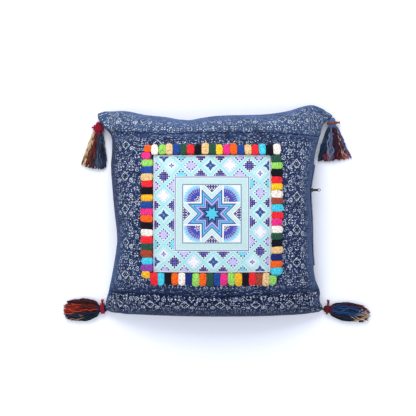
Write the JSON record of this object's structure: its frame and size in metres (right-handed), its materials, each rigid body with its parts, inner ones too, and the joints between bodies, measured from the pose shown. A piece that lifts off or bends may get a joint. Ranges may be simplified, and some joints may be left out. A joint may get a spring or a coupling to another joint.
{
  "type": "square cushion with tassels",
  "caption": "Square indigo printed cushion with an embroidered aqua star panel, wool pompom trim and a yarn tassel at each corner.",
  "frame": {"origin": "middle of the flat spot on which the cushion's back rests", "axes": "+Z out of the decorated face, +Y towards the top edge of the face, +X towards the side with the zip"},
  "size_m": [0.6134, 0.4416, 0.137],
  "materials": {
    "printed_cotton": "indigo cotton with a small white wax print",
    "embroidered_cotton": "counted stitch in aqua, white, lavender and navy thread",
    "wool_pompoms": "dense wool tufts in mixed bright colours",
    "tassel_yarn": "loose twisted yarn in mixed colours",
    "tie_yarn": "wrapped crimson and rust yarn",
    "zip_tape": "woven tape",
    "zip_enamel": "black enamel, worn at the edges"
  },
  "bodies": {
    "root": {"cushion": "printed_cotton", "panel": "embroidered_cotton", "pompom_trim_top": "wool_pompoms", "pompom_trim_right": "wool_pompoms", "pompom_trim_bottom": "wool_pompoms", "pompom_trim_left": "wool_pompoms", "tassel_nw": "tassel_yarn", "tassel_ne": "tassel_yarn", "tassel_sw": "tassel_yarn", "tassel_se": "tassel_yarn", "tie_nw": "tie_yarn", "tie_ne": "tie_yarn", "tie_sw": "tie_yarn", "tie_se": "tie_yarn", "zip_tape": "zip_tape", "zip_slider": "zip_enamel", "zip_pull": "zip_enamel"}
  },
  "joints": []
}
